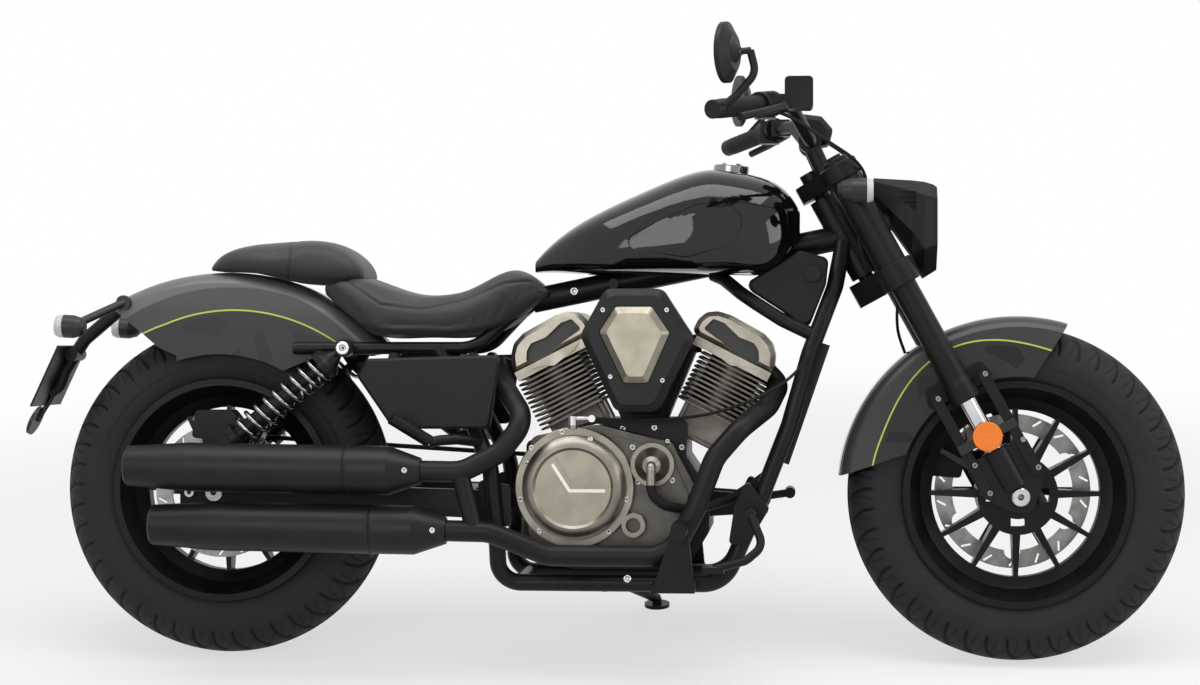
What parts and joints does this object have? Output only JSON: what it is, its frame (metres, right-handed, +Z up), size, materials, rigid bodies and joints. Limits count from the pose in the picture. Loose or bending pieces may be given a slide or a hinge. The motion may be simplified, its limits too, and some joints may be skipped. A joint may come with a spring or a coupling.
{
  "type": "cruiser motorcycle",
  "caption": "Cruiser motorcycle with a finned V-twin engine, low seat, deep fenders, cast wheels and stacked silencers, leaning on its side stand.",
  "frame": {"origin": "middle of the whole motorcycle's footprint, on the floor it is parked on", "axes": "+X forward along the wheelbase, +Y towards the side it leans to, on its left, +Z up from the floor"},
  "size_m": [2.2611, 0.9546, 1.2363],
  "materials": {
    "amber": "ribbed",
    "black_gloss": "gloss black",
    "black_satin": "satin black",
    "chrome": "bright",
    "coolant_core": "black finned",
    "disc_steel": "ground",
    "engine_grey": "satin warm grey",
    "fender_grey": "satin dark grey",
    "fin_grey": "painted dark warm grey",
    "lens": "clear",
    "plastic": "matt black",
    "red": "ribbed",
    "rubber": "matt",
    "seat": "grained",
    "tyre": "moulded rubber"
  },
  "bodies": {
    "chassis": {"air_cleaner": "plastic", "battery_box": "plastic", "clutch_cable": "rubber", "coolant_hose": "rubber", "crankcase": "engine_grey", "cylinder_heads": "engine_grey", "cylinders": "fin_grey", "drive_belt": "rubber", "exhaust_pipes": "black_satin", "foot_levers": "black_satin", "foot_pegs": "black_satin", "frame": "black_satin", "fuel_cap": "black_gloss", "fuel_tank": "black_gloss", "left_engine_covers": "engine_grey", "mount_bosses": "black_satin", "passenger_seat": "seat", "plate_bracket": "black_satin", "radiator": "coolant_core", "rear_axle": "chrome", "rear_caliper": "black_satin", "rear_fender": "fender_grey", "rear_indicators": "black_satin", "rear_shocks": "black_satin", "rider_seat": "seat", "right_engine_covers": "engine_grey", "rocker_covers": "engine_grey", "shock_springs": "chrome", "side_covers": "plastic", "silencers": "black_satin", "swingarm": "black_satin", "tail_reflector": "red"},
    "steering": {"front_axle": "chrome", "fork_tubes": "black_satin", "fork_stanchions": "chrome", "fork_castings": "black_satin", "front_fender": "fender_grey", "fork_reflectors": "amber", "fork_yokes": "black_satin", "headlight_housing": "black_satin", "headlight_lens": "lens", "front_indicators": "black_satin", "handlebar": "black_satin", "grips": "rubber", "bar_controls": "black_satin", "mirrors": "black_satin", "instrument": "plastic", "front_caliper": "black_satin", "control_cables": "rubber", "front_brake_hose": "rubber"},
    "front_wheel": {"front_tyre": "tyre", "front_wheel": "black_satin", "front_disc": "disc_steel"},
    "rear_wheel": {"rear_tyre": "tyre", "rear_wheel": "black_satin", "rear_disc": "disc_steel", "rear_pulley": "engine_grey"},
    "side_stand": {"side_stand": "black_satin"}
  },
  "joints": [
    {"name": "steering_head", "type": "hinge", "parent": "chassis", "child": "steering", "pos_m": [0.49781, -0.06051, 0.77416], "axis": [-0.4802, 0.1674, 0.861], "range_deg": [-35, 35]},
    {"name": "front_wheel_spin", "type": "hinge", "parent": "steering", "child": "front_wheel", "pos_m": [0.81059, -0.14965, 0.31556], "axis": [0, 0.9816, -0.1908], "continuous": true},
    {"name": "rear_wheel_spin", "type": "hinge", "parent": "chassis", "child": "rear_wheel", "pos_m": [-0.71941, -0.14927, 0.31752], "axis": [0, 0.9816, -0.1908], "continuous": true},
    {"name": "side_stand_fold", "type": "hinge", "parent": "chassis", "child": "side_stand", "pos_m": [0.00059, -0.02104, 0.10719], "axis": [0.1824, 0.4397, 0.8794], "range_deg": [0, 98]}
  ]
}
